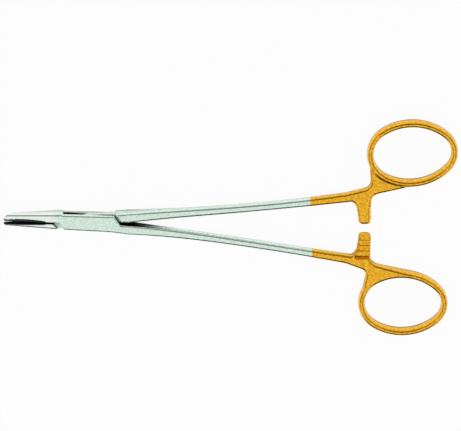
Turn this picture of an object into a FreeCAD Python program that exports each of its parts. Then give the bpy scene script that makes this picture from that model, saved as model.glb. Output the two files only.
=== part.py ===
import FreeCAD, Part
import math
import os

# Surgical needle holder with a box lock, a three-tooth ratchet and carbide jaw inserts.
# X runs along the length with the jaws at the minus end, and the jaws close on the XZ plane.
# The origin is on the lock's pin axis, on the surface that the instrument lies on.
# Lengths are in millimetres and angles in degrees.

# Box lock
lock_thickness = 5.2
slot_height = 2.1
tongue_play = 0.05          # running gap above and below the tongue
pin_diameter = 2.4
pin_play = 0.04             # radial running gap of the pin in the tongue
plate_up = 2.95             # plates' edge above the pin axis, jaw side
plate_up_rear = 2.6         # the same at the rear corner
plate_corner = 9.2          # pin axis to that corner
plate_down = 2.68           # plates' edge below the pin axis, jaw side
plate_down_rear = 3.45      # the same near the lower shank
plate_down_bend = 7.7       # pin axis to where that edge turns down the shank
plate_reach_front = 8.2     # pin axis to the plates' slanted front ends
plate_reach_rear = 9.1      # pin axis to the plates' slanted rear ends
plate_notch = 0.65          # the slanted rear ends stop this far below the pin axis
slot_reach_front = 8.45     # pin axis to the slot's closed front end
slot_reach_rear = 9.9       # pin axis to the slot's closed rear end
slot_corner = 1.0           # the slot's ends turn square this far from the pin axis
front_slant = 40.5          # turn of the front ends away from square to the length
rear_slant = 33.5
shoulder_front = 9.5        # pin axis to the lower jaw's shoulder
shoulder_rear = 9.7         # pin axis to the upper shank's shoulder
tongue_up = 2.75            # tongue's edges above and below the pin axis
tongue_down = 2.65
tongue_bend = 8.0           # rounding of those edges at the pin
tongue_root = 3.3           # the tongue runs this far into the lower jaw
root_up = 3.05              # upper shank's edges at its shoulder
root_down = 0.2
lock_rear = 14.0            # where the lock passes into the shanks
lock_edge = 0.3             # rounding of the lock's long edges
plate_bend_round = 6.0      # rounding where the plates' edge turns down the shank
plate_point_round = 0.5     # rounding of the slanted ends' pointed corners
plate_nose_round = 0.2      # rounding of the front end's upper corner
lock_step = 0.06            # the shanks start this far inside the lock's faces
overlap = 1.0               # shapes that make up one forging run this far into each other

# Jaws
jaw_reach = 29.8            # pin axis to the tips
upper_jaw_tip = 2.45
upper_jaw_heel = 3.3
lower_jaw_tip = 0.95
lower_jaw_heel = 2.5
jaw_tip_thickness = 2.2
jaw_heel = 8.8              # pin axis to the step behind the upper jaw
jaw_edge = 0.35
tip_round = 1.7             # rounding of the tips, seen from the side
tip_round_share = 0.7       # at most this share of the jaw's width is rounded
tip_plan_round = 0.9        # rounding of the tips, seen from the grip face
grip_length = 14.9
insert_proud = 0.12         # inserts stand this far out of the steel
upper_insert_depth = 0.95   # deepest, at the middle of the arched back
upper_insert_end = 0.4
lower_insert_depth = 0.45
lower_insert_end = 0.35
grip_pitch = 0.7
grip_depth = 0.16

# Shanks
shank_width_root = 3.35
shank_width_front = 3.07    # pull of the width over the front third
shank_width_waist = 2.0     # pull over the rear third, which leaves a waist of about 2.7
shank_width_handle = 3.6
shank_thickness = 3.2
shank_taper = 0.3           # share of the shank over which it thins down from the lock
shank_stations = (0.1, 0.2, 0.3, 0.5, 0.7, 0.85, 1.0)
shank_edge = 0.7
upper_root_y = 1.5          # centre line above the pin axis where the shank begins
upper_root_slope = 0.045
upper_handle_y = 7.85
upper_handle_slope = 0.13
lower_root_y = -2.55
lower_root_slope = -0.09
lower_handle_y = -14.42
lower_handle_slope = -0.165

# Ratchet arms and webs
arm_place = 97.55           # pin axis to the middle of the arms
arm_width = 4.4
arm_flare = 1.1             # the arms are this much wider at their foot
arm_tip_round = 1.4
upper_arm_end = -2.9
lower_arm_end = -3.6
arm_play = 0.06             # each arm's crests stay this far from the middle plane
tooth_pitch = 2.05
tooth_height = 0.6
tooth_count = 3
lead_in = 3.1               # arm end to the first crest
foot_ramp = 2.3             # length of the slope from the last tooth up to the web's face
teeth_margin = 0.2          # the toothed face runs this far past the arm's right side
web_reach = 13.4            # arms to where the web grows out of the shank
web_swell = 6.4             # arms to where the web's outer edge leaves the shank
web_thickness = 3.3
web_edge = 0.8
web_far_share = 0.8         # share of the ring's band that the web covers at its far end
web_near_share = 0.95
upper_crotch_y = 6.2        # corner between shank and arm
upper_crotch_round = 3.8
upper_heel_y = 7.9          # corner between arm and ring
upper_neck_y = 10.8         # corner between shank and ring
lower_crotch_y = -12.2
lower_crotch_round = 2.8
lower_heel_y = -14.9
lower_neck_y = -17.8
heel_round = 3.3
upper_neck_out = 2.2        # arms to the necks
lower_neck_out = 1.0
neck_round = 2.6
swell_round = 20.0          # rounding where the web's outer edge leaves the shank

# Finger rings
ring_inside_length = 27.1
ring_inside_width = 19.8
ring_blunt = 8.7            # inside radius at the end near the shank
ring_belly = 0.5            # the widest place is this far towards the shank
ring_band = 2.4
ring_thickness = 4.7
ring_crown = 0.8            # flat on the band's top and bottom
ring_bevel = 0.4
upper_ring_out = 16.7       # ring centre beyond the arms
upper_ring_side = 23.2
upper_ring_tilt = 2.0
upper_web_far = -80         # directions from the ring centre to the web's two ends on the ring
upper_web_near = 197
lower_ring_out = 14.2
lower_ring_side = 30.2
lower_ring_tilt = -1.6
lower_web_far = 75
lower_web_near = 157

# Motion
rest_opening = 1.8          # the instrument lies this far open

middle = lock_thickness / 2
tongue_thickness = slot_height - 2 * tongue_play
plate_thickness = (lock_thickness - slot_height) / 2
beyond = lock_thickness     # cutters run this far past what they cut
arm_left = arm_place - arm_width / 2
arm_right = arm_place + arm_width / 2


def vector(x, y, z=0.0):
    return FreeCAD.Vector(x, y, z)


def rounded_wire(corners):
    """Closed outline through (x, y, radius) corners, each rounded by a tangent arc."""
    edges = []
    joints = []
    count = len(corners)
    for index, (x, y, radius) in enumerate(corners):
        here = vector(x, y)
        back = vector(*corners[index - 1][:2]) - here
        ahead = vector(*corners[(index + 1) % count][:2]) - here
        if radius == 0:
            joints.append((here, here, here))
            continue
        half = back.getAngle(ahead) / 2
        inward = (back.normalize() + ahead.normalize()).normalize()
        trim = radius / math.tan(half)
        centre = here + inward * (radius / math.sin(half))
        joints.append((here + back * trim, centre - inward * radius, here + ahead * trim))
    for index, (start, crown, end) in enumerate(joints):
        if start != end:
            edges.append(Part.Arc(start, crown, end).toShape())
        following = joints[(index + 1) % count][0]
        edges.append(Part.LineSegment(end, following).toShape())
    return Part.Wire(edges)


def prism(wire, bottom, top):
    """Solid between two heights over a flat outline."""
    face = Part.Face(wire)
    face.translate(vector(0, 0, bottom))
    return face.extrude(vector(0, 0, top - bottom))


def soft_prism(corners, bottom, top, radius):
    """Prism whose edges round the two flat faces are rounded."""
    body = prism(rounded_wire(corners), bottom, top)
    rims = []
    for edge in body.Edges:
        heights = [vertex.Z for vertex in edge.Vertexes]
        if max(heights) == min(heights):
            rims.append(edge)
    return body.makeFillet(radius, rims)


def upright(corners, reach):
    """Prism over an outline drawn in X and Z about the middle plane, between Y of -reach and reach."""
    body = prism(rounded_wire(corners), -reach, reach)
    body.rotate(vector(0, 0), vector(1, 0, 0), 90)
    body.translate(vector(0, 0, middle))
    return body


def slanted_x(reach, angle, y):
    """X of a line that passes the pin axis at a distance, with its normal at an angle, at one Y."""
    return (reach - y * math.sin(math.radians(angle))) / math.cos(math.radians(angle))


def turned(shape, degrees):
    """The shape turned about the pin axis."""
    shape.rotate(vector(0, 0), vector(0, 0, 1), degrees)
    return shape


def jaw(side, tip, heel, heel_reach, face_gap):
    """Jaw that tapers in width and thickness to a rounded tip; side is 1 for upper, -1 for lower."""
    slim = jaw_tip_thickness / 2

    def form(side_round, plan_round):
        profile = prism(rounded_wire([
            (-jaw_reach, side * face_gap, 0),
            (-jaw_reach, side * tip, side_round),
            (-heel_reach, side * heel, 0),
            (-heel_reach, side * face_gap, 0),
        ]), 0, lock_thickness)
        plan = upright([
            (-jaw_reach, -slim, plan_round),
            (-heel_reach, -middle, 0),
            (-heel_reach, middle, 0),
            (-jaw_reach, slim, plan_round),
        ], beyond)
        return profile.common(plan)

    body = form(0, 0)
    outer_edges = []
    for edge in body.Edges:
        height = min(side * vertex.Y for vertex in edge.Vertexes)
        if edge.BoundBox.XLength > grip_length and height > tip / 2:
            outer_edges.append(edge)
    body = body.makeFillet(jaw_edge, outer_edges)
    return body.common(form(min(tip_round, tip_round_share * tip), tip_plan_round))


def insert_blank(side, depth, end_depth):
    """Carbide plate for one jaw, with an arched back that is brazed into a ground seat."""
    tip_x = -jaw_reach
    heel_x = -jaw_reach + grip_length
    back = Part.Arc(
        vector(tip_x, side * end_depth),
        vector((tip_x + heel_x) / 2, side * depth),
        vector(heel_x, side * end_depth),
    ).toShape()
    sides = Part.makePolygon([
        vector(heel_x, side * end_depth),
        vector(heel_x, 0),
        vector(tip_x, 0),
        vector(tip_x, side * end_depth),
    ])
    return prism(Part.Wire([back] + sides.Edges), 0, lock_thickness)


def grip_cuts(side):
    """V grooves at both slants across the whole grip face."""
    spacing = grip_pitch * math.sqrt(2)
    count = int((grip_length + lock_thickness) / spacing) + 1
    profile = Part.makePolygon([
        vector(0, -side * grip_depth, -grip_pitch),
        vector(0, side * grip_depth, 0),
        vector(0, -side * grip_depth, grip_pitch),
        vector(0, -side * grip_depth, -grip_pitch),
    ])
    families = []
    for slant in (45, -45):
        grooves = []
        for index in range(count):
            groove = Part.Face(profile).extrude(vector(2 * lock_thickness, 0, 0))
            groove.translate(vector(-lock_thickness, 0, 0))
            groove.rotate(vector(0, 0), vector(0, 1, 0), slant)
            groove.translate(vector(index * spacing - jaw_reach - middle, 0, middle))
            grooves.append(groove)
        families.append(grooves)
    return families


def finished_insert(side, blank, jaw_form):
    """Blank trimmed to the jaw's outline and cut with the cross pattern."""
    body = blank.common(jaw_form)
    for grooves in grip_cuts(side):
        body = body.cut(grooves)
    return body


def bezier(start, front, rear, end, share):
    """Value of a cubic curve at a share of its length, from its end values and its two pulls."""
    rest = 1 - share
    return start * rest ** 3 + 3 * front * rest ** 2 * share + 3 * rear * rest * share ** 2 + end * share ** 3


def shank_edges(line, x):
    """Lower and upper edge of a shank at one X; the line is its centre's height and slope at both ends."""
    root_y, root_slope, handle_y, handle_slope = line
    run = arm_place - lock_rear
    share = (x - lock_rear) / run
    front = root_y + root_slope * run / 3
    rear = handle_y - handle_slope * run / 3
    centre = bezier(root_y, front, rear, handle_y, share)
    width = bezier(shank_width_root, shank_width_front, shank_width_waist, shank_width_handle, share)
    return centre - width / 2, centre + width / 2


def bevelled_section(x, low, high, thickness, bevel):
    """Rectangle with bevelled corners, square to the length."""
    half = thickness / 2
    near = half - bevel
    points = [
        (low + bevel, -half), (high - bevel, -half), (high, -near), (high, near),
        (high - bevel, half), (low + bevel, half), (low, near), (low, -near),
    ]
    return Part.makePolygon([vector(x, y, middle + z) for y, z in points + points[:1]])


def shank(line):
    """Bevelled shank, lofted along its line from the lock's full thickness down to the arms."""
    root_thickness = lock_thickness - 2 * lock_step
    inside = lock_rear - overlap
    sections = [bevelled_section(inside, *shank_edges(line, inside), root_thickness, lock_edge)]
    for share in shank_stations:
        x = lock_rear + share * (arm_place - lock_rear)
        taper = max(0, 1 - share / shank_taper) ** 2
        thickness = shank_thickness + (root_thickness - shank_thickness) * taper
        bevel = shank_edge + (lock_edge - shank_edge) * taper
        sections.append(bevelled_section(x, *shank_edges(line, x), thickness, bevel))
    return Part.makeLoft(sections, True, False)


def ring_line(grow):
    """A ring's hole outline grown outward: four tangent arcs, with the widest place off the middle."""
    length = ring_inside_length / 2
    width = ring_inside_width / 2
    near_x = ring_blunt - length
    side = ((near_x + ring_belly) ** 2 + width ** 2 - ring_blunt ** 2) / (2 * (width - ring_blunt))
    reach = length + ring_belly
    sharp = (2 * side * width - width ** 2 - reach ** 2) / (2 * (side - reach))
    centre = vector(-ring_belly, width - side)
    near = centre + (vector(near_x, 0) - centre).normalize() * (side + grow)
    far = centre + (vector(length - sharp, 0) - centre).normalize() * (side + grow)
    near_below = vector(near.x, -near.y)
    far_below = vector(far.x, -far.y)
    return Part.Wire([
        Part.Arc(near, vector(-ring_belly, width + grow), far).toShape(),
        Part.Arc(far, vector(length + grow, 0), far_below).toShape(),
        Part.Arc(far_below, vector(-ring_belly, -width - grow), near_below).toShape(),
        Part.Arc(near_below, vector(-length - grow, 0), near).toShape(),
    ])


def settled(shape, centre, tilt):
    """A shape drawn about its own origin, turned and moved to a ring's centre."""
    shape.rotate(vector(0, 0), vector(0, 0, 1), tilt)
    shape.translate(centre)
    return shape


def band_section():
    """Section of a ring's band in Y and Z: bulging sides and a narrow crown with bevels, top and bottom."""
    half = ring_band / 2
    top = ring_thickness / 2
    flat = ring_crown / 2
    shoulder = flat + ring_bevel
    low = top - ring_bevel
    crown = [vector(0, shoulder, low), vector(0, flat, top), vector(0, -flat, top), vector(0, -shoulder, low)]
    foot = [vector(0, -point.y, -point.z) for point in crown]
    edges = Part.makePolygon(crown).Edges
    edges.append(Part.Arc(crown[-1], vector(0, -half, 0), foot[0]).toShape())
    edges += Part.makePolygon(foot).Edges
    edges.append(Part.Arc(foot[-1], vector(0, half, 0), crown[0]).toShape())
    return Part.Face(Part.Wire(edges))


def finger_ring(centre, tilt):
    """Ring whose band section is carried round the middle of the band."""
    path = ring_line(ring_band / 2)
    start = path.Edges[0]
    place = start.valueAt(start.FirstParameter)
    radial = place - start.Curve.Center
    section = band_section()
    section.rotate(vector(0, 0), vector(0, 0, 1), math.degrees(math.atan2(-radial.x, radial.y)))
    section.translate(place)
    return settled(path.makePipe(section), centre + vector(0, 0, middle), tilt)


def ring_point(centre, tilt, direction, grow):
    """Point near a ring's band, seen from the ring's centre at an angle."""
    turn = math.radians(direction)
    along = (ring_inside_length / 2 + grow) * math.cos(turn)
    across = (ring_inside_width / 2 + grow) * math.sin(turn)
    point = FreeCAD.Rotation(vector(0, 0, 1), tilt).multVec(vector(along, across)) + centre
    return point.x, point.y, 0


def arm_teeth(side, end):
    """Cutter that halves the arm and leaves the saw teeth; side is 1 for the upper arm, which has them below."""
    crest = middle + side * arm_play
    root = crest + side * tooth_height
    web_face = middle - side * web_thickness / 2
    free = web_face - side * beyond
    here = end + side * lead_in
    tip = end - side * beyond
    profile = [(tip, free), (tip, root), (here - side * tooth_pitch / 2, root), (here, crest), (here, root)]
    for index in range(tooth_count - 1):
        here += side * tooth_pitch
        profile += [(here, crest), (here, root)]
    foot = here + side * foot_ramp
    profile += [(foot, web_face), (foot, free)]
    points = [vector(arm_left - arm_flare, y, z) for y, z in profile]
    face = Part.Face(Part.makePolygon(points + points[:1]))
    return face.extrude(vector(arm_width + arm_flare + teeth_margin, 0, 0))


def handle(corners, centre, tilt):
    """Web, uncut ratchet arm and finger ring of one half."""
    bottom = middle - web_thickness / 2
    web = soft_prism(corners, bottom, bottom + web_thickness, web_edge)
    hole = prism(settled(ring_line(ring_band / 2), centre, tilt), 0, lock_thickness)
    return web.cut(hole).fuse(finger_ring(centre, tilt))


# Box half: upper jaw, the lock's two plates, lower shank, lower arm and lower ring
front = 180 + front_slant
lower_line = (lower_root_y, lower_root_slope, lower_handle_y, lower_handle_slope)
lower_root = shank_edges(lower_line, lock_rear)
block = soft_prism([
    (slanted_x(plate_reach_front, front, insert_proud), plate_up, plate_nose_round),
    (plate_corner, plate_up_rear, lock_edge),
    (slanted_x(plate_reach_rear, rear_slant, -plate_notch), -plate_notch, plate_point_round),
    (lock_rear, lower_root[1] + lock_step, 0),
    (lock_rear, lower_root[0] - lock_step, 0),
    (plate_down_bend, -plate_down_rear, plate_bend_round),
    (slanted_x(plate_reach_front, front, -plate_down), -plate_down, plate_point_round),
    (slanted_x(plate_reach_front, front, insert_proud), insert_proud, plate_nose_round / 2),
], 0, lock_thickness, lock_edge)
slot_front = slanted_x(slot_reach_front, 180 - front_slant, -slot_corner)
slot_rear = slanted_x(slot_reach_rear, -rear_slant, slot_corner)
slot = prism(rounded_wire([
    (slanted_x(slot_reach_front, 180 - front_slant, beyond), beyond, 0),
    (slot_front, -slot_corner, 0),
    (slot_front, -beyond, 0),
    (slanted_x(slot_reach_rear, -rear_slant, -beyond), -beyond, 0),
    (slot_rear, slot_corner, 0),
    (slot_rear, beyond, 0),
]), plate_thickness, plate_thickness + slot_height)
upper_jaw = jaw(1, upper_jaw_tip, upper_jaw_heel, jaw_heel, insert_proud)
upper_blank = insert_blank(1, upper_insert_depth, upper_insert_end)
pin_hole = Part.makeCylinder(pin_diameter / 2, lock_thickness)
lower_centre = vector(arm_place + lower_ring_out, -lower_ring_side)
web_root = arm_place - web_reach
swell = arm_place - web_swell
lower_web = [
    (web_root, sum(shank_edges(lower_line, web_root)) / 2, 0),
    (arm_left - arm_flare, lower_crotch_y, lower_crotch_round),
    (arm_left, lower_arm_end, arm_tip_round),
    (arm_right, lower_arm_end, arm_tip_round),
    (arm_right, lower_heel_y, heel_round),
    ring_point(lower_centre, lower_ring_tilt, lower_web_far, web_far_share * ring_band),
    (lower_centre.x, lower_centre.y, 0),
    ring_point(lower_centre, lower_ring_tilt, lower_web_near, web_near_share * ring_band),
    (arm_place + lower_neck_out, lower_neck_y, neck_round),
    (swell, shank_edges(lower_line, swell)[0], swell_round),
]
box_half = block.fuse([
    upper_jaw,
    shank(lower_line),
    handle(lower_web, lower_centre, lower_ring_tilt),
])
box_half = box_half.cut([slot, pin_hole, upper_blank, arm_teeth(-1, lower_arm_end)])

# Tongue half: lower jaw, the tongue through the lock, upper shank, upper arm and upper ring
lower_jaw_form = (-1, lower_jaw_tip, lower_jaw_heel, shoulder_front - overlap)
lower_jaw = jaw(*lower_jaw_form, insert_proud)
lower_blank = insert_blank(-1, lower_insert_depth, lower_insert_end)
shoulder_cut = prism(rounded_wire([
    (slanted_x(shoulder_front, front, beyond), beyond, 0),
    (slanted_x(shoulder_front, front, -beyond), -beyond, 0),
    (beyond, -beyond, 0),
    (beyond, beyond, 0),
]), 0, lock_thickness)
upper_line = (upper_root_y, upper_root_slope, upper_handle_y, upper_handle_slope)
upper_root = shank_edges(upper_line, lock_rear)
root_block = soft_prism([
    (slanted_x(shoulder_rear, rear_slant, root_up), root_up, lock_edge),
    (slanted_x(shoulder_rear, rear_slant, -root_down), -root_down, lock_edge),
    (lock_rear, upper_root[0] - lock_step, 0),
    (lock_rear, upper_root[1] + lock_step, 0),
], 0, lock_thickness, lock_edge)
tongue = prism(rounded_wire([
    (lock_rear - overlap, root_up, 0),
    (0, tongue_up, tongue_bend),
    (-shoulder_front - tongue_root, -lower_insert_depth, 0),
    (-shoulder_front - tongue_root / 2, -lower_jaw_heel + lock_edge, 0),
    (0, -tongue_down, tongue_bend),
    (lock_rear - 2 * overlap, -root_down, 0),
    (lock_rear - overlap, -root_down, 0),
]), middle - tongue_thickness / 2, middle + tongue_thickness / 2)
upper_centre = vector(arm_place + upper_ring_out, upper_ring_side)
upper_web = [
    (web_root, sum(shank_edges(upper_line, web_root)) / 2, 0),
    (arm_left - arm_flare, upper_crotch_y, upper_crotch_round),
    (arm_left, upper_arm_end, arm_tip_round),
    (arm_right, upper_arm_end, arm_tip_round),
    (arm_right, upper_heel_y, heel_round),
    ring_point(upper_centre, upper_ring_tilt, upper_web_far, web_far_share * ring_band),
    (upper_centre.x, upper_centre.y, 0),
    ring_point(upper_centre, upper_ring_tilt, upper_web_near, web_near_share * ring_band),
    (arm_place + upper_neck_out, upper_neck_y, neck_round),
    (swell, shank_edges(upper_line, swell)[1], swell_round),
]
tongue_half = lower_jaw.cut(shoulder_cut).fuse([
    tongue,
    root_block,
    shank(upper_line),
    handle(upper_web, upper_centre, upper_ring_tilt),
])
tongue_hole = Part.makeCylinder(pin_diameter / 2 + pin_play, lock_thickness)
tongue_half = tongue_half.cut([tongue_hole, lower_blank, arm_teeth(1, upper_arm_end)])

upper_insert = finished_insert(1, upper_blank, jaw(1, upper_jaw_tip, upper_jaw_heel, jaw_heel, 0))
lower_insert = finished_insert(-1, lower_blank, jaw(*lower_jaw_form, 0))
pieces = {
    "box_half": box_half,
    "tongue_half": turned(tongue_half, rest_opening),
    "pivot_pin": Part.makeCylinder(pin_diameter / 2, lock_thickness),
    "upper_jaw_insert": upper_insert,
    "lower_jaw_insert": turned(lower_insert, rest_opening),
}

os.makedirs("parts", exist_ok=True)
for name, shape in pieces.items():
    shape.exportStep("parts/" + name + ".step")
    print(name, shape.ShapeType, len(shape.Solids), shape.isValid(), round(shape.Volume, 2))
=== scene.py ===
import math

import bpy
import numpy as np
from mathutils import Matrix, Vector


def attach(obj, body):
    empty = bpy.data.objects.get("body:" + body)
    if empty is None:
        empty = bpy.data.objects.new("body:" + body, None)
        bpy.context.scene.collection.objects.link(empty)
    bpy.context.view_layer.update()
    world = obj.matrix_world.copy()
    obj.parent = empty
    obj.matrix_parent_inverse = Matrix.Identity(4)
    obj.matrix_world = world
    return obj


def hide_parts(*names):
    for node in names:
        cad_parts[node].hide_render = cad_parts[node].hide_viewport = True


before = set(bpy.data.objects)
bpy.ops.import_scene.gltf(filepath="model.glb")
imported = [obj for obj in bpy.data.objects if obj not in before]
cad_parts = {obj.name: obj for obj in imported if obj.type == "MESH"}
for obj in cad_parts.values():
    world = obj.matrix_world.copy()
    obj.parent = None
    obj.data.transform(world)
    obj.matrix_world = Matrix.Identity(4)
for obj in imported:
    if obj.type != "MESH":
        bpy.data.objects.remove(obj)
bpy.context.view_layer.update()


# Camera: a copy stand's camera far above the instrument, leaning 22 degrees towards the upper ring and
# swung by 0.6 degrees, with a long lens, so that the shanks keep their true proportions.
lean = math.radians(22.0)
swing = math.radians(0.6)
stand_reach = 1.25
aim = Vector((0.05011, 0.00254, 0.0026))
across = Vector((math.cos(swing), math.sin(swing), 0.0))
towards = Vector((-math.sin(lean) * math.sin(swing), math.sin(lean) * math.cos(swing), math.cos(lean)))
upwards = towards.cross(across)
camera_data = bpy.data.cameras.new("stand_camera")
camera_data.type = "PERSP"
camera_data.sensor_width = 36.0
camera_data.lens = 277.2
camera_data.clip_start = 0.01
camera_data.clip_end = 20.0
camera = bpy.data.objects.new("stand_camera", camera_data)
bpy.context.scene.collection.objects.link(camera)
turned_axes = Matrix((across, upwards, towards)).transposed().to_4x4()
camera.matrix_world = Matrix.Translation(aim + stand_reach * towards) @ turned_axes
bpy.context.scene.camera = camera
bpy.context.scene.view_settings.view_transform = "Standard"


# Paper: a large white sheet that the instrument lies on. The camera and the polished faces see it plain
# white, apart from the narrow gaps in and under the forgings, where it is dark.
half_sheet = 4.0
paper_drop = 0.00005
paper_white = 0.9
paper_glow = 0.95
near_air = 0.004


def made_of(name, verts, faces):
    """Object at the origin, from its points and faces."""
    mesh = bpy.data.meshes.new(name)
    mesh.from_pydata(verts.tolist(), [], faces.tolist())
    made = bpy.data.objects.new(name, mesh)
    bpy.context.scene.collection.objects.link(made)
    return made


def feed(tree, socket, value):
    """Gives a socket another node's output, a number or a colour."""
    if isinstance(value, bpy.types.NodeSocket):
        tree.links.new(value, socket)
    else:
        socket.default_value = value


def arithmetic(tree, operation, one, two):
    """One arithmetic step on two values."""
    step = tree.nodes.new("ShaderNodeMath")
    step.operation = operation
    feed(tree, step.inputs[0], one)
    feed(tree, step.inputs[1], two)
    return step.outputs[0]


def ramp(tree, value, low, high, start=0.0, end=1.0, blend="LINEAR"):
    """Runs from start to end while the value runs from low to high, and stays level outside that."""
    step = tree.nodes.new("ShaderNodeMapRange")
    step.interpolation_type = blend
    step.inputs["From Min"].default_value = low
    step.inputs["From Max"].default_value = high
    step.inputs["To Min"].default_value = start
    step.inputs["To Max"].default_value = end
    tree.links.new(value, step.inputs["Value"])
    return step.outputs[0]


def open_air(tree):
    """Share of the air close above a point of the surface that nothing fills."""
    step = tree.nodes.new("ShaderNodeAmbientOcclusion")
    step.inputs["Distance"].default_value = near_air
    step.samples = 8
    return step.outputs["AO"]


sheet_corners = np.array([(-1, -1, 0), (1, -1, 0), (1, 1, 0), (-1, 1, 0)]) * half_sheet
paper = made_of("paper", sheet_corners - (0, 0, paper_drop), np.array([(0, 1, 2, 3)]))
paper_material = bpy.data.materials.new("white_paper")
paper_material.use_nodes = True
tree = paper_material.node_tree
tree.nodes.clear()
rays = tree.nodes.new("ShaderNodeLightPath")
to_camera = rays.outputs["Is Camera Ray"]
to_shine = arithmetic(tree, "MAXIMUM", rays.outputs["Is Glossy Ray"], rays.outputs["Is Transmission Ray"])
air = open_air(tree)
gap_shade = arithmetic(tree, "MULTIPLY", to_camera, ramp(tree, air, 0.04, 0.2, 1.0, 0.0))
contact_shade = arithmetic(tree, "MULTIPLY", to_shine, ramp(tree, air, 0.46, 0.66, 1.0, 0.0))
clear = arithmetic(tree, "SUBTRACT", 1.0, arithmetic(tree, "ADD", gap_shade, contact_shade))
plain = arithmetic(tree, "MULTIPLY", arithmetic(tree, "MAXIMUM", to_camera, to_shine), paper_glow)
lit = tree.nodes.new("ShaderNodeBsdfDiffuse")
feed(tree, lit.inputs["Color"], arithmetic(tree, "MULTIPLY", clear, paper_white))
glow = tree.nodes.new("ShaderNodeEmission")
glow.inputs["Strength"].default_value = 1.0
surface = tree.nodes.new("ShaderNodeMixShader")
feed(tree, surface.inputs[0], arithmetic(tree, "MULTIPLY", clear, plain))
tree.links.new(lit.outputs[0], surface.inputs[1])
tree.links.new(glow.outputs[0], surface.inputs[2])
tree.links.new(surface.outputs[0], tree.nodes.new("ShaderNodeOutputMaterial").inputs[0])
paper.data.materials.append(paper_material)


# Soft box: one large lamp overhead, moved towards the lower ring's side. Its level is the share of full
# white that it gives to white paper under it when it fills the whole sky.
lamp_level = 0.62
soft_box = bpy.data.lights.new("soft_box", "AREA")
soft_box.shape = "RECTANGLE"
soft_box.size = 1.6
soft_box.size_y = 1.45
soft_box.energy = math.pi * soft_box.size * soft_box.size_y * lamp_level
soft_box_holder = bpy.data.objects.new("soft_box", soft_box)
soft_box_holder.location = (0.05, -0.32, 0.9)
soft_box_holder.visible_camera = False
bpy.context.scene.collection.objects.link(soft_box_holder)


# Dark card: a black sheet bent round the lower ring's side of the table. It gives no shadow. The ground
# edges that lean towards it mirror it as dark lines.
def curved_card(name, radius, low, high, first, last, count=24):
    """Upright sheet: radius turned from the first to the last angle about the table's middle, low to high."""
    turn = np.radians(np.linspace(first, last, count))
    bend = np.stack([radius * np.cos(turn) + aim.x, radius * np.sin(turn)], axis=1)
    verts = np.concatenate([np.c_[bend, np.full(count, low)], np.c_[bend, np.full(count, high)]])
    here = np.arange(count - 1)
    return made_of(name, verts, np.stack([here + 1, here, here + count, here + 1 + count], axis=1))


def new_material(name):
    """Material with nodes, together with its tree and its shader."""
    material = bpy.data.materials.new(name)
    material.use_nodes = True
    return material, material.node_tree, material.node_tree.nodes["Principled BSDF"]


card = curved_card("dark_card", 1.6, 0.05, 1.3, -118, -62)
black_card, tree, shader = new_material("black_card")
shader.inputs["Base Color"].default_value = (0.01, 0.012, 0.012, 1)
shader.inputs["Roughness"].default_value = 0.9
card.data.materials.append(black_card)
card.visible_camera = False
card.visible_shadow = False
card.visible_diffuse = False


# Room: white walls up to about 32 degrees above the table, and over them a grey ceiling. Polished faces
# that lean outwards mirror the walls, and flat tops seen from the side mirror the ceiling.
world = bpy.data.worlds.new("studio_air")
bpy.context.scene.world = world
world.use_nodes = True
tree = world.node_tree
background = tree.nodes["Background"]
background.inputs["Color"].default_value = (0.93, 0.94, 0.94, 1)
sight = tree.nodes.new("ShaderNodeTexCoord")
sight_parts = tree.nodes.new("ShaderNodeSeparateXYZ")
tree.links.new(sight.outputs["Generated"], sight_parts.inputs[0])
walls = ramp(tree, sight_parts.outputs["Z"], 0.48, 0.58, 0.8, 0.24, "SMOOTHSTEP")
tree.links.new(walls, background.inputs["Strength"])


# Box half: martensitic stainless steel, drop forged with its jaw, shank, arm and ring in one piece, milled
# for the lock's slot and the teeth, then ground and satin finished by hand. The handle end is gold plated
# up to a masked line. The forgings' sizes are in millimetres, and their finishes read places in metres.
steel_colour = (0.78, 0.96, 0.84)
polished_colour = (0.94, 1.0, 0.95, 1.0)
gold_colour = (1.0, 0.6, 0.05, 1.0)
deep_gold_colour = (0.84, 0.35, 0.014, 1.0)
# painted shade: the near black that gaps and corners are darkened towards
painted_shade_colour = (0.03, 0.022, 0.012, 1.0)

grid_step = np.array((0.28, 0.165, 0.165))
outside = 3.0               # distances past this from an outline are not worked out
lock_thickness = 5.2
middle = lock_thickness / 2
lock_rear = 14.0            # where the lock passes into the shanks
slot_height = 2.1
plate_reach = 8.2           # pin axis to the plates' slanted front ends
slot_reach_front = 8.45
slot_reach_rear = 9.9
slot_corner = 1.0
front_slant = 40.5          # turn of the front ends away from square to the length
rear_slant = 33.5
front = 180 + front_slant
pin_radius = 1.2
jaw_reach = 29.8            # pin axis to the tips
jaw_tip_thickness = 2.2
grip_length = 14.9
insert_proud = 0.12         # inserts stand this far out of the steel
shank_thickness = 3.2
shank_widths = (3.35, 3.07, 2.0, 3.6)
shank_taper = 0.3           # share of the shank over which it thins down from the lock
arm_place = 97.55           # pin axis to the middle of the arms
arm_width = 4.4
arm_flare = 1.1
arm_play = 0.06             # each arm's crests stay this far from the middle plane
tooth_pitch = 2.05
tooth_height = 0.6
arm_tip_round = 1.4
heel_round = 3.3            # corner between arm and ring
neck_round = 2.6            # corner between shank and ring
swell_round = 20.0          # rounding where the web leaves the shank
web_thickness = 3.3
ring_inside_length = 27.1
ring_inside_width = 19.8
ring_band = 2.4
ring_thickness = 4.7
web_far_end = 0.8 * ring_band
web_near_end = 0.95 * ring_band
shank_run = arm_place - lock_rear
arm_left = arm_place - arm_width / 2
arm_right = arm_place + arm_width / 2


def noise(tree, place, scale, detail):
    """Cloudy pattern over a place, from 0 to 1."""
    step = tree.nodes.new("ShaderNodeTexNoise")
    step.inputs["Scale"].default_value = scale
    step.inputs["Detail"].default_value = detail
    tree.links.new(place, step.inputs["Vector"])
    return step.outputs[0]


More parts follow.
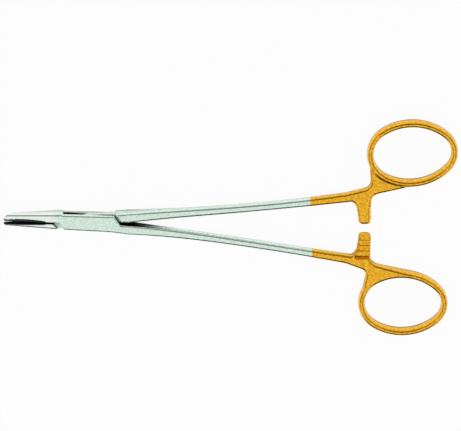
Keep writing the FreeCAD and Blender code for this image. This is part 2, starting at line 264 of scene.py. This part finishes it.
def mixed(tree, share, one, two):
    """Number that goes from one to two by a share."""
    step = tree.nodes.new("ShaderNodeMix")
    feed(tree, step.inputs[0], share)
    feed(tree, step.inputs[2], one)
    feed(tree, step.inputs[3], two)
    return step.outputs[0]


def mixed_colour(tree, share, one, two):
    """Colour that goes from one to two by a share."""
    step = tree.nodes.new("ShaderNodeMix")
    step.data_type = "RGBA"
    feed(tree, step.inputs[0], share)
    feed(tree, step.inputs[6], one)
    feed(tree, step.inputs[7], two)
    return step.outputs[2]


def steel_shade(factor):
    """Steel's colour made darker or lighter."""
    return (*[min(1.0, factor * part) for part in steel_colour], 1.0)


def forged_finish(name, plating_from):
    """Satin steel with fine grinding marks along the length, polished on the jaw, that turns to plated gold
    with a soft hammered unevenness where Object X passes the masked line. Painted shade darkens gaps and
    corners."""
    material, tree, shader = new_material(name)
    place = tree.nodes.new("ShaderNodeTexCoord").outputs["Object"]
    parts = tree.nodes.new("ShaderNodeSeparateXYZ")
    tree.links.new(place, parts.inputs[0])
    along = parts.outputs["X"]
    plated = ramp(tree, along, plating_from - 0.00012, plating_from + 0.00012, blend="SMOOTHSTEP")
    satin = ramp(tree, along, -0.0135, -0.0105)
    stretch = tree.nodes.new("ShaderNodeMapping")
    stretch.inputs["Scale"].default_value = (260.0, 5200.0, 5200.0)
    tree.links.new(place, stretch.inputs[0])
    grinding = noise(tree, stretch.outputs[0], 1.0, 3.0)
    mottle = noise(tree, place, 1500.0, 4.0)
    peel = noise(tree, place, 2200.0, 2.0)
    patches = ramp(tree, mottle, 0.4, 0.6)

    satin_steel = mixed_colour(tree, patches, steel_shade(0.87), steel_shade(1.07))
    steel = mixed_colour(tree, satin, polished_colour, satin_steel)
    gold = mixed_colour(tree, patches, deep_gold_colour, gold_colour)
    unshaded = mixed_colour(tree, plated, steel, gold)
    # Painted shade: the colour goes towards near black where the air close above the surface is closed in.
    with_painted_shade = mixed_colour(tree, ramp(tree, open_air(tree), 0.15, 0.72), painted_shade_colour, unshaded)
    tree.links.new(with_painted_shade, shader.inputs["Base Color"])

    steel_rough = ramp(tree, grinding, 0.0, 1.0, 0.16, 0.30)
    gold_rough = ramp(tree, mottle, 0.0, 1.0, 0.12, 0.24)
    tree.links.new(mixed(tree, plated, steel_rough, gold_rough), shader.inputs["Roughness"])
    bump = tree.nodes.new("ShaderNodeBump")
    bump.inputs["Strength"].default_value = 0.25
    bump.inputs["Distance"].default_value = 0.00003
    tree.links.new(mixed(tree, plated, grinding, peel), bump.inputs["Height"])
    tree.links.new(bump.outputs[0], shader.inputs["Normal"])
    shader.inputs["Metallic"].default_value = 1.0
    return material


def softened(corners, points=9):
    """Closed outline through (x, y, radius) corners. Each corner is an arc of its radius that touches both
    sides: its middle lies radius / sin(half the corner's angle) inwards from the corner."""
    corners = np.array(corners, float)
    here, radius = corners[:, :2], corners[:, 2:]
    back = np.roll(here, 1, axis=0) - here
    ahead = np.roll(here, -1, axis=0) - here
    back /= np.linalg.norm(back, axis=1, keepdims=True)
    ahead /= np.linalg.norm(ahead, axis=1, keepdims=True)
    inward = back + ahead
    inward /= np.linalg.norm(inward, axis=1, keepdims=True)
    half = np.arccos(np.clip((back * inward).sum(axis=1, keepdims=True), -1, 1))
    centre = here + inward * radius / np.sin(half)
    first = here + back * radius / np.tan(half) - centre
    last = here + ahead * radius / np.tan(half) - centre
    start = np.arctan2(first[:, 1], first[:, 0])[:, None]
    sweep = np.arctan2(last[:, 1], last[:, 0])[:, None] - start
    sweep = (sweep + np.pi) % (2 * np.pi) - np.pi
    turn = start + sweep * np.linspace(0, 1, points)
    arcs = centre[:, None] + radius[:, None] * np.stack([np.cos(turn), np.sin(turn)], axis=-1)
    return arcs.reshape(-1, 2)


def flat_distance(across, along, outline):
    """Signed distance in a plane to a closed outline, negative inside: the least distance to any of its
    straight runs. The point is inside where a ray from it crosses an odd number of them."""
    low, high = outline.min(axis=0) - outside, outline.max(axis=0) + outside
    shape = np.broadcast(across, along).shape
    if across.max() < low[0] or across.min() > high[0] or along.max() < low[1] or along.min() > high[1]:
        return np.full(shape, outside)
    run = np.roll(outline, -1, axis=0) - outline
    length = np.maximum((run ** 2).sum(axis=1), 1e-12)
    x = across[..., None] - outline[:, 0]
    y = along[..., None] - outline[:, 1]
    share = np.clip((x * run[:, 0] + y * run[:, 1]) / length, 0, 1)
    gap = np.hypot(x - share * run[:, 0], y - share * run[:, 1]).min(axis=-1)
    straddles = (y < 0) != (y - run[:, 1] < 0)
    crosses = straddles & ((x * run[:, 1] - y * run[:, 0] < 0) == (run[:, 1] > 0))
    return np.where(crosses.sum(axis=-1) % 2 == 1, -gap, gap)


def shared(one, other, radius):
    """Distance field of what two shapes share, with the edge between them rounded to a radius."""
    corner = np.hypot(np.maximum(one + radius, 0), np.maximum(other + radius, 0))
    return corner + np.minimum(np.maximum(one, other) + radius, 0) - radius


def merged(one, other, radius):
    """Distance field of both shapes together, with a fillet of a radius where they meet."""
    return -shared(-one, -other, radius)


def eased(side, flat, radius):
    """What a side and a flat face share, with a rounded edge and on it a narrow ground facet 28 degrees off
    the flat: sin 28 * side + cos 28 * flat, and the plane that touches the rounding is 0.352 radius inside
    the corner. The facet lies 0.04 mm deeper."""
    facet = 0.47 * side + 0.883 * flat + 0.352 * radius + 0.04
    return np.maximum(shared(side, flat, radius), facet)


def plate(x, y, z, corners, height, radius):
    """Flat plate about the middle plane over an outline, with its edges eased to a radius."""
    return eased(flat_distance(x, y, softened(corners)), np.abs(z - middle) - height / 2, radius)


def slanted_x(reach, angle, y):
    """X of a line at a distance from the pin axis with its normal at an angle: (reach - y sin) / cos."""
    return (reach - y * math.sin(math.radians(angle))) / math.cos(math.radians(angle))


def shank_line(x, line):
    """Centre line and width at x: cubic curves whose ends and end slopes are given."""
    root_y, root_slope, handle_y, handle_slope = line
    share = np.clip((x - lock_rear) / shank_run, -0.05, 1)
    rest = 1 - share
    weights = (rest ** 3, 3 * rest ** 2 * share, 3 * rest * share ** 2, share ** 3)
    pulls = (root_y, root_y + root_slope * shank_run / 3, handle_y - handle_slope * shank_run / 3, handle_y)
    centre = sum(weight * pull for weight, pull in zip(weights, pulls))
    width = sum(weight * pull for weight, pull in zip(weights, shank_widths))
    return centre, width


def shank(x, y, z, line):
    """Bar along its centre line: |y - centre| - width / 2 shared with |z - middle| - thickness / 2. The
    thickness falls from the lock's with the square of the distance left to the taper's end, and the edges
    are eased to 0.6 at the lock and 1.0 past the taper."""
    centre, width = shank_line(x, line)
    taper = np.clip(1 - (x - lock_rear) / (shank_taper * shank_run), 0, 1) ** 2
    slope = np.gradient(centre, x[:, 0, 0], axis=0)
    side = (np.abs(y - centre) - width / 2) / np.sqrt(1 + slope ** 2)
    half = shank_thickness / 2 + (lock_thickness - shank_thickness) / 2 * taper
    bar = eased(side, np.abs(z - middle) - half, 1.0 - 0.4 * taper)
    return np.maximum(bar, np.maximum(lock_rear - 0.3 - x, x - arm_place))


def jaw(x, y, z, side, tip, heel, heel_reach, tip_round):
    """Jaw that tapers to a rounded tip in both views: its side view shared with its top view, then with the
    grip plane, whose edges stay crisp. In the top view the taper ends 10.9 mm from the pin, in a wide bend."""
    profile = softened([
        (-jaw_reach, -side * 3, 0),
        (-jaw_reach, side * tip, tip_round),
        (-heel_reach, side * heel, 0),
        (-heel_reach, -side * 3, 0),
    ])
    top_view = softened([
        (-jaw_reach, middle - jaw_tip_thickness / 2, 0.9),
        (-10.9, 0, 20),
        (-heel_reach, 0, 0),
        (-heel_reach, lock_thickness, 0),
        (-10.9, lock_thickness, 20),
        (-jaw_reach, middle + jaw_tip_thickness / 2, 0.9),
    ])
    blade = eased(flat_distance(x, y, profile), flat_distance(x, z, top_view), 0.9)
    return shared(blade, insert_proud - side * y, 0.12)


def seat(x, y, side, depth, end_depth):
    """Ground seat of an insert: from the grip face to an arched floor, a parabola over the grip's length. It
    runs out 1 mm past the tip."""
    heel_x = grip_length - jaw_reach
    along = np.linspace(heel_x, -jaw_reach - 1, 30)
    bow = np.clip(1 - ((along - heel_x) / (grip_length / 2) + 1) ** 2, 0, 1)
    floor = np.stack([along, side * (end_depth + (depth - end_depth) * bow)], axis=1)
    return flat_distance(x, y, np.concatenate([floor, [(-jaw_reach - 1, -side), (heel_x, -side)]]))


def ring_distance(x, y, centre, tilt):
    """Signed distance in the plane to a ring's hole, four tangent arcs: a blunt end of 8.7 mm, two bellies
    that are widest 0.5 mm towards the shank, and a sharper end. The other radii follow from its size."""
    turn = math.radians(tilt)
    along = (x - centre[0]) * math.cos(turn) + (y - centre[1]) * math.sin(turn)
    across = np.abs((y - centre[1]) * math.cos(turn) - (x - centre[0]) * math.sin(turn))
    length, width, blunt, belly = ring_inside_length / 2, ring_inside_width / 2, 8.7, 0.5
    near = blunt - length
    side = ((near + belly) ** 2 + width ** 2 - blunt ** 2) / (2 * (width - blunt))
    sharp = (2 * side * width - width ** 2 - (length + belly) ** 2) / (2 * (side - length - belly))
    far = length - sharp
    drop = side - width
    to_blunt = (near + belly) * (across + drop) - drop * (along + belly) > 0
    to_sharp = (far + belly) * (across + drop) - drop * (along + belly) < 0
    bellies = np.hypot(along + belly, across + drop) - side
    ends = np.where(to_sharp, np.hypot(along - far, across) - sharp, bellies)
    return np.where(to_blunt, np.hypot(along - near, across) - blunt, ends)


def ring(x, y, z, centre, tilt):
    """Band whose section is carried round the hole: bulging sides, facets 28 degrees off the flat and a
    narrow crown. The section is drawn smaller by 0.2 and then grown by it, which rounds its corners."""
    grown = 0.2
    bulge, shoulder, shoulder_height = ring_band / 2 - grown, 0.6, 1.91
    crown, crown_height = 0.15, ring_thickness / 2 - grown
    bend = ((bulge - shoulder) ** 2 + shoulder_height ** 2) / (2 * (bulge - shoulder))
    sweep = math.asin(shoulder_height / bend)
    turn = np.linspace(-sweep, sweep, 25)
    outer = np.stack([bulge - bend + bend * np.cos(turn), bend * np.sin(turn)], axis=1)
    top = np.array([(crown, crown_height), (-crown, crown_height)])
    section = np.concatenate([outer, top, -outer, -top])
    across = np.linspace(-3, 3, 241)
    table = flat_distance(across[:, None], z.reshape(1, -1) - middle, section) - grown
    off = ring_distance(x, y, centre, tilt)[..., 0] - ring_band / 2
    return np.stack([np.interp(off, across, level) for level in table.T], axis=-1)


def ring_point(centre, tilt, direction, grow):
    """Corner of a web on its ring's band, seen from the ring's centre at an angle."""
    turn = math.radians(direction)
    along = (ring_inside_length / 2 + grow) * math.cos(turn)
    across = (ring_inside_width / 2 + grow) * math.sin(turn)
    tilt = math.radians(tilt)
    return (centre[0] + along * math.cos(tilt) - across * math.sin(tilt),
            centre[1] + along * math.sin(tilt) + across * math.cos(tilt), 0)


def teeth(x, y, z, side, end):
    """Milling cutter for a ratchet arm: a saw-tooth outline in the YZ plane carried across the arm. Each
    crest has a chamfer of 0.5 by 0.28, and a ramp runs up from the last root to the web's face."""
    beyond = lock_thickness
    crest = middle + side * arm_play
    root = crest + side * tooth_height
    web_face = middle - side * web_thickness / 2
    free = web_face - side * beyond
    here = end + side * 3.1 + side * tooth_pitch * np.arange(3)
    tip = end - side * beyond
    profile = [(tip, free), (tip, root), (here[0] - side * tooth_pitch, root)]
    for place in here:
        profile += [(place - side * 0.5, crest), (place, crest + side * 0.28), (place, root)]
    profile += [(here[2] + side * 1.6, crest + side * 0.1), (here[2] + side * 2.3, web_face)]
    profile.append((here[2] + side * 2.3, free))
    flat = flat_distance(y[0], z[0], np.array(profile))[None]
    return np.maximum(flat, np.maximum(arm_left - arm_flare - x, x - arm_right - 0.2))


def handle(x, y, z, corners, centre, tilt, rise):
    """Web and finger ring with a fillet between them. The web stops at the middle of the ring's band, and
    its thickness grows by the rise over the last 6 mm to the ring."""
    off = ring_distance(x, y, centre, tilt) - ring_band / 2
    near = np.clip(1 - off / 6, 0, 1)
    web = plate(x, y, z, corners, web_thickness + rise * near * near * (3 - 2 * near), 1.0)
    return merged(np.maximum(web, -off), ring(x, y, z, centre, tilt), 0.3)


def bevel(x, y, z, edge, facing, level, fades, over):
    """Slope along one long edge of a ratchet arm: a plane with its normal 48 degrees from the vertical,
    through the edge's line at a height: sin 48 * x + cos 48 * z. It leaves the arm beyond the place where it
    fades, within 2.5 mm."""
    gone = np.clip((y - fades) * over / 2.5, 0, 1)
    return (x - edge) * facing * 0.74 + (z - level) * 0.67 - 5 * gone


def sampled(field, place):
    """Field value between grid points, by the shares of the distance to the eight points around."""
    base = np.clip(place.astype(int), 0, np.array(field.shape) - 2)
    share = place - base
    value = np.zeros(len(place))
    for corner in np.ndindex(2, 2, 2):
        weight = np.prod(np.where(corner, share, 1 - share), axis=1)
        value += weight * field[tuple((base + corner).T)]
    return value


def steepest(field, place, reach=0.6):
    """Gradient of the field per millimetre, from the values on both sides along each axis."""
    shifts = np.eye(3) * reach
    return np.stack([(sampled(field, place + shift) - sampled(field, place - shift)) / (2 * reach * pitch)
                     for shift, pitch in zip(shifts, grid_step)], axis=1)


def skin(field):
    """Surface of quads where the field passes zero. Every grid edge that it crosses gives one quad between
    the four cells around that edge. A cell's point is the mean of its crossings, then slid onto the surface
    along the gradient in three small steps."""
    cells, crossings, faces = [], [], []
    for axis in range(3):
        one, two = (axis + 1) % 3, (axis + 2) % 3
        lower = np.delete(np.arange(field.shape[axis]), -1)
        inside = np.take(field, lower, axis) < 0
        change = np.argwhere(inside != (np.take(field, lower + 1, axis) < 0))
        ahead = np.eye(3, dtype=int)[axis]
        start, end = field[tuple(change.T)], field[tuple((change + ahead).T)]
        point = change + ahead * (start / (start - end))[:, None]
        around = np.zeros((4, 3), int)
        around[1:3, one] = -1
        around[2:4, two] = -1
        cell = np.ravel_multi_index(tuple(np.moveaxis(change[:, None] + around, -1, 0)), field.shape)
        cell[start >= 0] = cell[start >= 0][:, ::-1]
        faces.append(cell)
        cells.append(cell.ravel())
        crossings.append(np.repeat(point, 4, axis=0))
    names, order = np.unique(np.concatenate(cells), return_inverse=True)
    points = np.concatenate(crossings)
    count = np.bincount(order)
    place = np.stack([np.bincount(order, points[:, axis]) / count for axis in range(3)], axis=1)
    for again in range(3):
        slope = steepest(field, place, 0.25)
        slide = slope * (sampled(field, place) / np.maximum((slope ** 2).sum(axis=1), 0.2))[:, None]
        place -= np.clip(slide / grid_step, -0.5, 0.5)
    return place, np.searchsorted(names, np.concatenate(faces))


def forging(name, shape, zones, turn, nodes, body, material):
    """One half: its distance field over zones of a grid, skinned, turned about the pin axis, in metres. Its
    normals are the field's gradient."""
    low = np.min([zone[0] for zone in zones], axis=0)
    high = np.max([zone[1] for zone in zones], axis=0)
    counts = np.ceil((high - low) / grid_step).astype(int) + 1
    field = np.ones(counts, np.float32)
    for near, far in zones:
        begin = np.round((np.array(near) - low) / grid_step).astype(int)
        end = np.minimum(np.round((np.array(far) - low) / grid_step).astype(int) + 1, counts)
        x, y, z = [low[axis] + grid_step[axis] * np.arange(begin[axis], end[axis]) for axis in range(3)]
        block = tuple(slice(a, b) for a, b in zip(begin, end))
        field[block] = shape(x[:, None, None], y[None, :, None], z[None, None, :])
    place, quads = skin(field)
    normals = steepest(field, place)
    normals /= np.linalg.norm(normals, axis=1, keepdims=True)
    spin = np.array(Matrix.Rotation(math.radians(turn), 3, "Z"))
    half = made_of(name, (low + place * grid_step) @ spin.T * 0.001, quads)
    half.data.polygons.foreach_set("use_smooth", np.ones(len(quads), bool))
    half.data.normals_split_custom_set_from_vertices((normals @ spin.T).tolist())
    half.data.materials.append(material)
    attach(half, body)
    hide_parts(*nodes)


lower_line = (-2.55, -0.09, -14.42, -0.165)
lower_root_y, lower_root_width = shank_line(np.array(lock_rear), lower_line)
lower_centre = (arm_place + 14.2, -30.2)
lower_tilt = -1.6
lower_arm_end = -3.6
web_root = np.array(arm_place - 13.4)
swell = np.array(arm_place - 6.4)


def box_shape(x, y, z):
    """Upper jaw, lock plates with the slot between them, lower shank, lower arm with its teeth, lower ring.
    The pin is pressed in and ground flush, so it is one with the plates."""
    block = plate(x, y, z, [
        (slanted_x(plate_reach, front, insert_proud), 2.95, 0.2),
        (9.2, 2.6, 0.3),
        (slanted_x(9.1, rear_slant, -0.65), -0.65, 0.5),
        (lock_rear, lower_root_y + lower_root_width / 2, 0),
        (lock_rear, lower_root_y - lower_root_width / 2, 0),
        (7.7, -3.45, 6),
        (slanted_x(plate_reach, front, -2.68), -2.68, 0.5),
        (slanted_x(plate_reach, front, insert_proud), insert_proud, 0.1),
    ], lock_thickness, 0.7)
    ahead_of_nose = slanted_x(plate_reach, front, y) - x
    block = np.maximum(block, 0.6 * ahead_of_nose + 0.8 * (z - lock_thickness) + 0.3)
    slot_front = slanted_x(slot_reach_front, 180 - front_slant, -slot_corner)
    slot_rear = slanted_x(slot_reach_rear, -rear_slant, slot_corner)
    slot = flat_distance(x, y, np.array([
        (slanted_x(slot_reach_front, 180 - front_slant, lock_thickness), lock_thickness),
        (slot_front, -slot_corner),
        (slot_front, -lock_thickness),
        (slanted_x(slot_reach_rear, -rear_slant, -lock_thickness), -lock_thickness),
        (slot_rear, slot_corner),
        (slot_rear, lock_thickness),
    ]))
    centre, width = shank_line(swell, lower_line)
    web = [
        (web_root, shank_line(web_root, lower_line)[0], 0),
        (arm_left - arm_flare, -12.2, 2.8),
        (arm_left, lower_arm_end, arm_tip_round),
        (arm_right, lower_arm_end, arm_tip_round),
        (arm_right, -14.9, heel_round),
        ring_point(lower_centre, lower_tilt, 75, web_far_end),
        (*lower_centre, 0),
        ring_point(lower_centre, lower_tilt, 157, web_near_end),
        (arm_place + 1, -17.8, neck_round),
        (swell, centre - width / 2, swell_round),
    ]
    body = np.minimum(block, jaw(x, y, z, 1, 2.45, 3.3, 8.8, 1.7))
    body = np.minimum(body, shank(x, y, z, lower_line))
    body = np.minimum(body, handle(x, y, z, web, lower_centre, lower_tilt, 1.3))
    body = shared(body, -np.maximum(slot, np.abs(z - middle) - slot_height / 2), 0.08)
    body = np.minimum(body, np.maximum(np.hypot(x, y) - pin_radius, np.abs(z - middle) - middle))
    body = np.maximum(body, -seat(x, y, 1, 0.95, 0.4))
    body = shared(body, -teeth(x, y, z, -1, lower_arm_end), 0.25)
    edge = arm_left + (y - lower_arm_end) * arm_flare / 8.6
    slope = bevel(x, y, z, edge, -1, 1.3, -10.0, -1)
    on_arm = (x > arm_place - 5) & (x < arm_place + 4) & (y > -16)
    return np.where(on_arm, shared(body, slope, 0.3), body)


forging("forged_box_half", box_shape, [
    ((-30.25, -4.7, -0.3), (15.5, 4.0, 5.5)),
    ((15.5, -16.7, -0.3), (84.0, -0.2, 5.5)),
    ((84.0, -43.2, -0.3), (128.75, -2.9, 5.5)),
], 0, ("box_half", "pivot_pin"), "box_body", forged_finish("box_half_finish", 0.0790))


# Tongue half: the other forging, of the same steel and finish. Its middle is milled to a thin tongue, which
# passes through the box half's slot and turns there on the pin.
upper_line = (1.5, 0.045, 7.85, 0.13)
upper_root_y, upper_root_width = shank_line(np.array(lock_rear), upper_line)
upper_centre = (arm_place + 16.7, 23.2)
upper_tilt = 2.0
upper_arm_end = -2.9
shoulder_front = 9.5        # pin axis to the lower jaw's shoulder
shoulder_rear = 9.7         # pin axis to the upper shank's shoulder
tongue_thickness = 2.0
pin_clearance = 0.3         # room round the pin, where the two skins must not meet
rest_opening = 1.8          # the instrument lies this far open


def tongue_shape(x, y, z):
    """Lower jaw, the tongue that turns in the slot, upper shank with its shoulder, upper arm and ring."""
    behind_shoulder = x * math.cos(math.radians(front)) + y * math.sin(math.radians(front)) - shoulder_front
    lower_jaw = jaw(x, y, z, -1, 0.95, 2.5, 8.5, 0.665)
    cut_jaw = shared(lower_jaw, -behind_shoulder, 0.35)
    tongue = flat_distance(x, y, softened([
        (lock_rear - 1, 3.05, 0),
        (0, 2.75, 8),
        (-shoulder_front - 3.3, -0.45, 0),
        (-shoulder_front - 1.65, -2.2, 0),
        (0, -2.65, 8),
        (lock_rear - 2, -0.2, 0),
        (lock_rear - 1, -0.2, 0),
    ]))
    root = plate(x, y, z, [
        (slanted_x(shoulder_rear, rear_slant, 3.05), 3.05, 0.3),
        (slanted_x(shoulder_rear, rear_slant, -0.2), -0.2, 0.3),
        (lock_rear, upper_root_y - upper_root_width / 2, 0),
        (lock_rear, upper_root_y + upper_root_width / 2, 0),
    ], lock_thickness, 0.8)
    centre, width = shank_line(swell, upper_line)
    web = [
        (web_root, shank_line(web_root, upper_line)[0], 0),
        (arm_left - arm_flare, 6.2, 3.8),
        (arm_left, upper_arm_end, arm_tip_round),
        (arm_right, upper_arm_end, arm_tip_round),
        (arm_right, 7.9, heel_round),
        ring_point(upper_centre, upper_tilt, -80, web_far_end),
        (*upper_centre, 0),
        ring_point(upper_centre, upper_tilt, 197, web_near_end),
        (arm_right, 10.8, neck_round),
        (swell, centre + width / 2, swell_round),
    ]
    body = np.minimum(cut_jaw, np.maximum(tongue, np.abs(z - middle) - tongue_thickness / 2))
    body = np.minimum(body, root)
    body = np.minimum(body, shank(x, y, z, upper_line))
    body = np.minimum(body, handle(x, y, z, web, upper_centre, upper_tilt, 0))
    body = np.maximum(body, pin_radius + pin_clearance - np.hypot(x, y))
    body = np.maximum(body, -seat(x, y, -1, 0.45, 0.35))
    body = shared(body, -teeth(x, y, z, 1, upper_arm_end), 0.25)
    slope = bevel(x, y, z, arm_right, 1, middle + 0.55, 3.5, 1)
    on_arm = (x > arm_place - 2) & (x < arm_place + 5) & (y < 9)
    return np.where(on_arm, shared(body, slope, 0.3), body)


forging("forged_tongue_half", tongue_shape, [
    ((-30.25, -3.2, -0.3), (15.5, 4.0, 5.5)),
    ((15.5, -0.8, -0.3), (84.0, 10.0, 5.5)),
    ((84.0, -3.5, -0.3), (131.25, 36.4, 5.5)),
], rest_opening, ("tongue_half",), "tongue_body", forged_finish("tongue_half_finish", 0.0780))


# Carbide inserts: sintered tungsten carbide plates brazed into both jaws, dark, with a fine
# cross-cut face that holds the needle.
def dress(node, material):
    """Gives every slot of a CAD node one material."""
    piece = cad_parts[node]
    if not piece.material_slots:
        piece.data.materials.append(material)
    for entry in piece.material_slots:
        entry.material = material


carbide, tree, shader = new_material("sintered_carbide")
grains = noise(tree, tree.nodes.new("ShaderNodeTexCoord").outputs["Object"], 5000.0, 2.0)
grain_colour = mixed_colour(tree, grains, (0.012, 0.018, 0.02, 1), (0.06, 0.075, 0.08, 1))
tree.links.new(grain_colour, shader.inputs["Base Color"])
shader.inputs["Roughness"].default_value = 0.45
shader.inputs["Metallic"].default_value = 1.0
dress("upper_jaw_insert", carbide)
dress("lower_jaw_insert", carbide)
